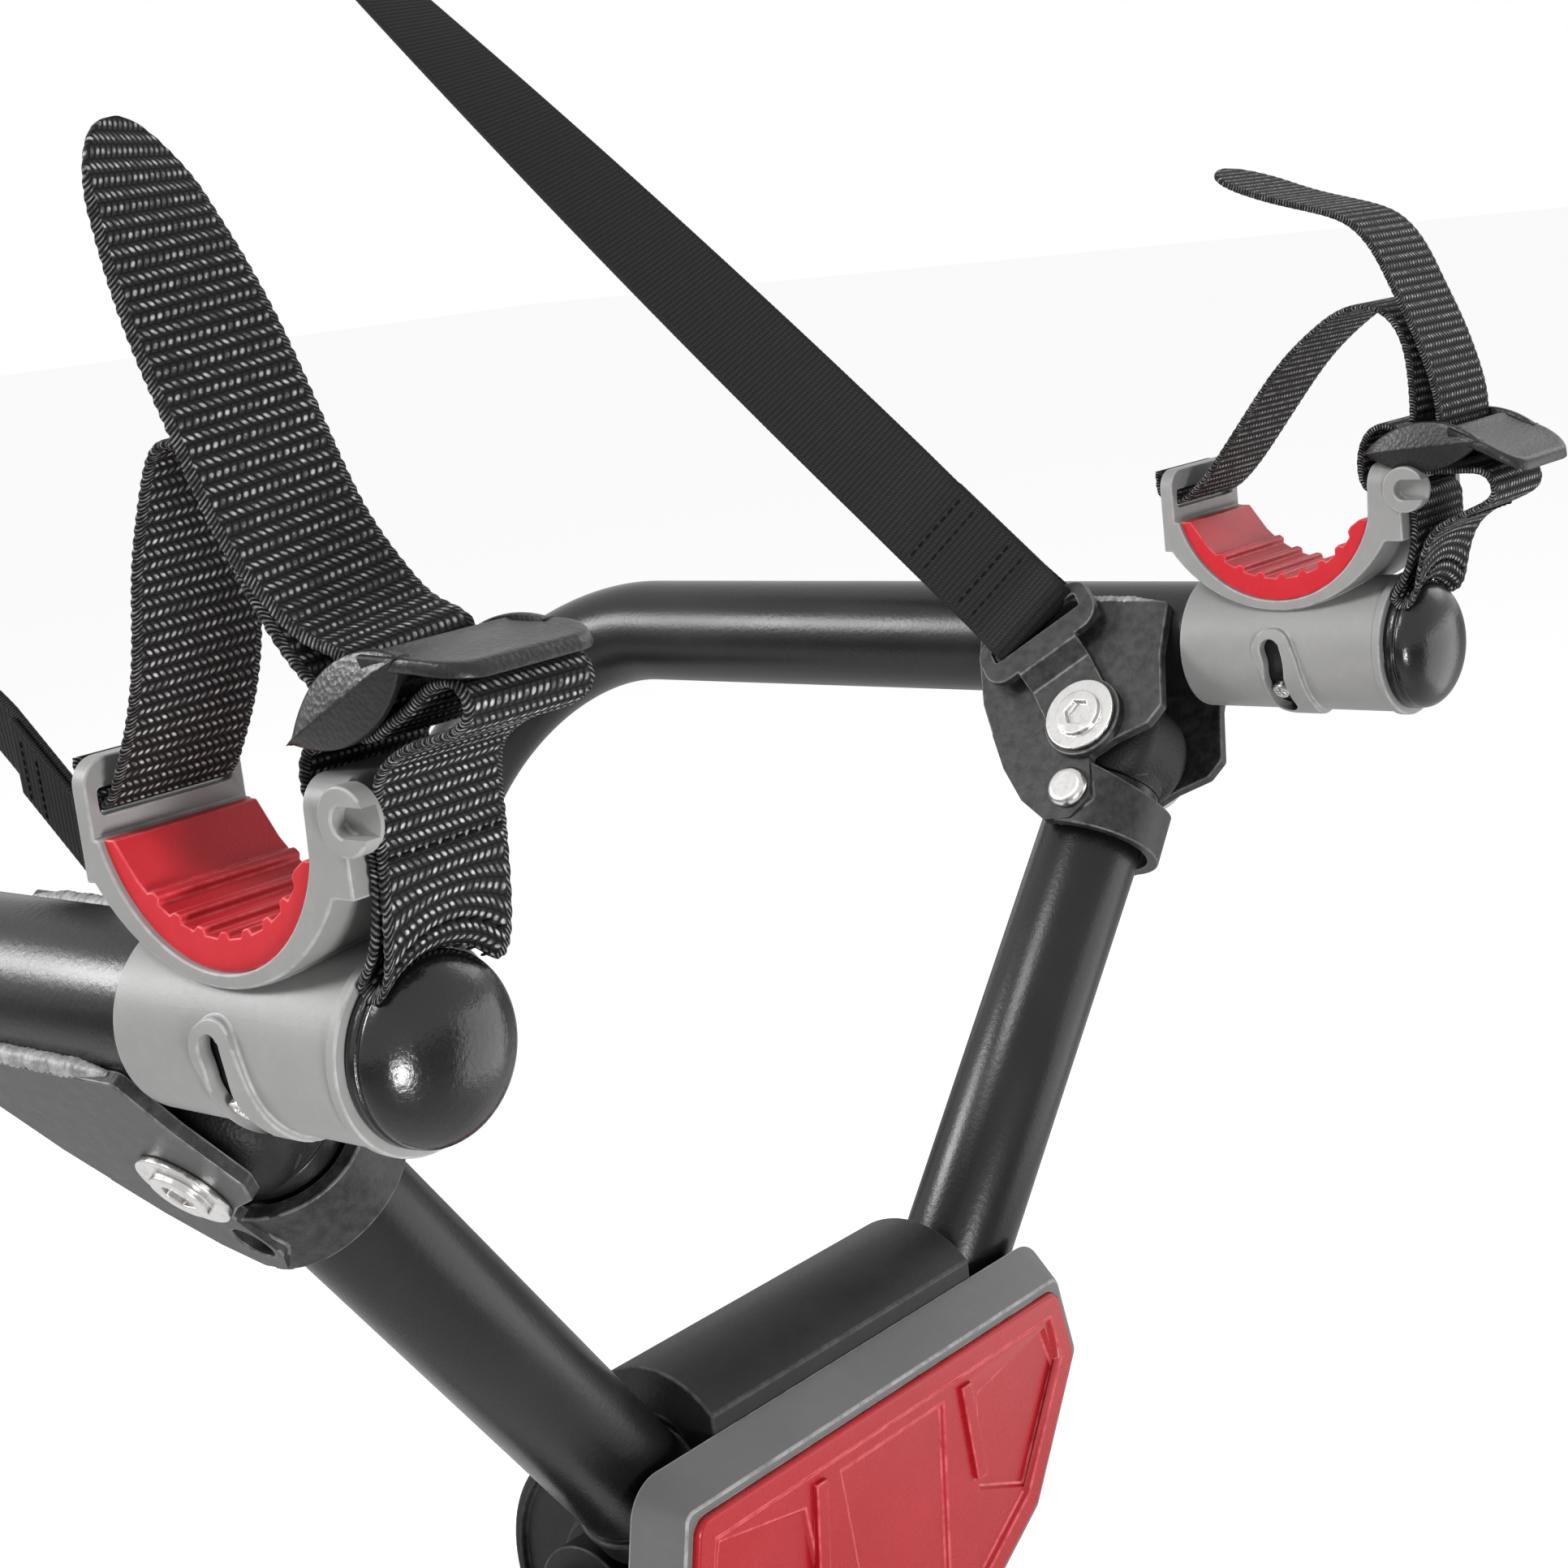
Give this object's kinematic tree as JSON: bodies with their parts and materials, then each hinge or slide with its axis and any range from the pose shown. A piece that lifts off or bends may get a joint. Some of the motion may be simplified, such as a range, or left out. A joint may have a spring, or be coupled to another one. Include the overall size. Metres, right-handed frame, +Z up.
{
  "type": "trunk mounted bike rack",
  "caption": "Strap-on rack: V arms on a hub, folding carriers with turning cradles and strap buckles, padded legs, hooked top straps.",
  "frame": {"origin": "midway between left and right, on the plane of the flats of the two upper rest pads where they meet the car, 24 mm below the middle of the pads", "axes": "+X to the rack's right seen from behind the car, +Y forward into the car, +Z up"},
  "size_m": [0.3457, 0.4054, 0.6546],
  "materials": {
    "tube_black": "satin powder coat, fine orange peel",
    "bracket_black": "satin powder coat, edges worn lighter",
    "moulded_black": "fine moulded texture",
    "cap_black": "orange peel gloss",
    "trim_grey": "satin",
    "cradle_grey": "fine moulded texture",
    "liner_red": "soft satin, lighter worn steps",
    "cover_red": "semi gloss",
    "webbing_black": "coarse ribbed weave",
    "foam_black": "closed cell foam",
    "zinc_steel": "bright zinc",
    "hook_coat": "dipped coat"
  },
  "bodies": {
    "frame": {"arm_left": "tube_black", "arm_right": "tube_black", "arm_plug_left": "moulded_black", "arm_plug_right": "moulded_black", "arm_spigot_left": "moulded_black", "arm_spigot_right": "moulded_black", "hub_housing": "moulded_black", "hub_trim": "trim_grey", "hub_cover": "cover_red", "hub_bolts": "zinc_steel"},
    "lower_frame": {"hinge_axle": "zinc_steel", "lower_lug_left": "moulded_black", "lower_lug_right": "moulded_black", "lower_leg_left": "tube_black", "lower_leg_right": "tube_black", "lower_pad_left": "foam_black", "lower_pad_right": "foam_black", "lower_plug_left": "moulded_black", "lower_plug_right": "moulded_black"},
    "carrier_left": {"carrier_left": "tube_black", "bracket_left": "bracket_black", "weld_left": "bracket_black", "pivot_bolt_left": "zinc_steel", "end_cap_left": "cap_black", "stop_screw_left": "zinc_steel", "rest_pad_left": "foam_black", "rest_plug_left": "moulded_black"},
    "lock_left": {"lock_pin_left": "zinc_steel"},
    "cradle_left": {"cradle_left": "cradle_grey", "liner_left": "liner_red", "buckle_left": "moulded_black", "anchor_strap_left": "webbing_black", "bike_strap_left": "webbing_black"},
    "strap_left": {"strap_plate_left": "bracket_black", "top_strap_left": "webbing_black", "top_hook_left": "hook_coat"},
    "carrier_right": {"carrier_right": "tube_black", "bracket_right": "bracket_black", "weld_right": "bracket_black", "pivot_bolt_right": "zinc_steel", "end_cap_right": "cap_black", "stop_screw_right": "zinc_steel", "rest_pad_right": "foam_black", "rest_plug_right": "moulded_black"},
    "lock_right": {"lock_pin_right": "zinc_steel"},
    "cradle_right": {"cradle_right": "cradle_grey", "liner_right": "liner_red", "buckle_right": "moulded_black", "anchor_strap_right": "webbing_black", "bike_strap_right": "webbing_black"},
    "strap_right": {"strap_plate_right": "bracket_black", "top_strap_right": "webbing_black", "top_hook_right": "hook_coat"}
  },
  "joints": [
    {"name": "carrier_left_fold", "type": "hinge", "parent": "frame", "child": "carrier_left", "pos_m": [-0.13748, -0.2472, 0.07746], "axis": [-0.7944, 0, -0.6074], "range_deg": [0, 26]},
    {"name": "lock_left_pull", "type": "slide", "parent": "carrier_left", "child": "lock_left", "axis": [0.7944, 0, 0.6074], "range_m": [0, 0.0025], "stiffness_N_per_m": 400},
    {"name": "cradle_left_turn", "type": "hinge", "parent": "carrier_left", "child": "cradle_left", "pos_m": [-0.156, -0.2485, 0.10169], "axis": [0, 1, 0], "range_deg": [-10, 10]},
    {"name": "strap_left_swing", "type": "hinge", "parent": "carrier_left", "child": "strap_left", "pos_m": [-0.13748, -0.2472, 0.07746], "axis": [-0.7944, 0, -0.6074], "range_deg": [-6, 6]},
    {"name": "carrier_right_fold", "type": "hinge", "parent": "frame", "child": "carrier_right", "pos_m": [0.13748, -0.2472, 0.07746], "axis": [-0.7944, 0, 0.6074], "range_deg": [0, 26]},
    {"name": "lock_right_pull", "type": "slide", "parent": "carrier_right", "child": "lock_right", "axis": [-0.7944, 0, 0.6074], "range_m": [0, 0.0025], "stiffness_N_per_m": 400},
    {"name": "cradle_right_turn", "type": "hinge", "parent": "carrier_right", "child": "cradle_right", "pos_m": [0.156, -0.2485, 0.10169], "axis": [0, 1, 0], "range_deg": [-10, 10]},
    {"name": "strap_right_swing", "type": "hinge", "parent": "carrier_right", "child": "strap_right", "pos_m": [0.13748, -0.2472, 0.07746], "axis": [-0.7944, 0, 0.6074], "range_deg": [-6, 6]},
    {"name": "lower_frame_fold", "type": "hinge", "parent": "frame", "child": "lower_frame", "pos_m": [0, -0.23, -0.06131], "axis": [1, 0, 0], "range_deg": [-45, 25]}
  ]
}
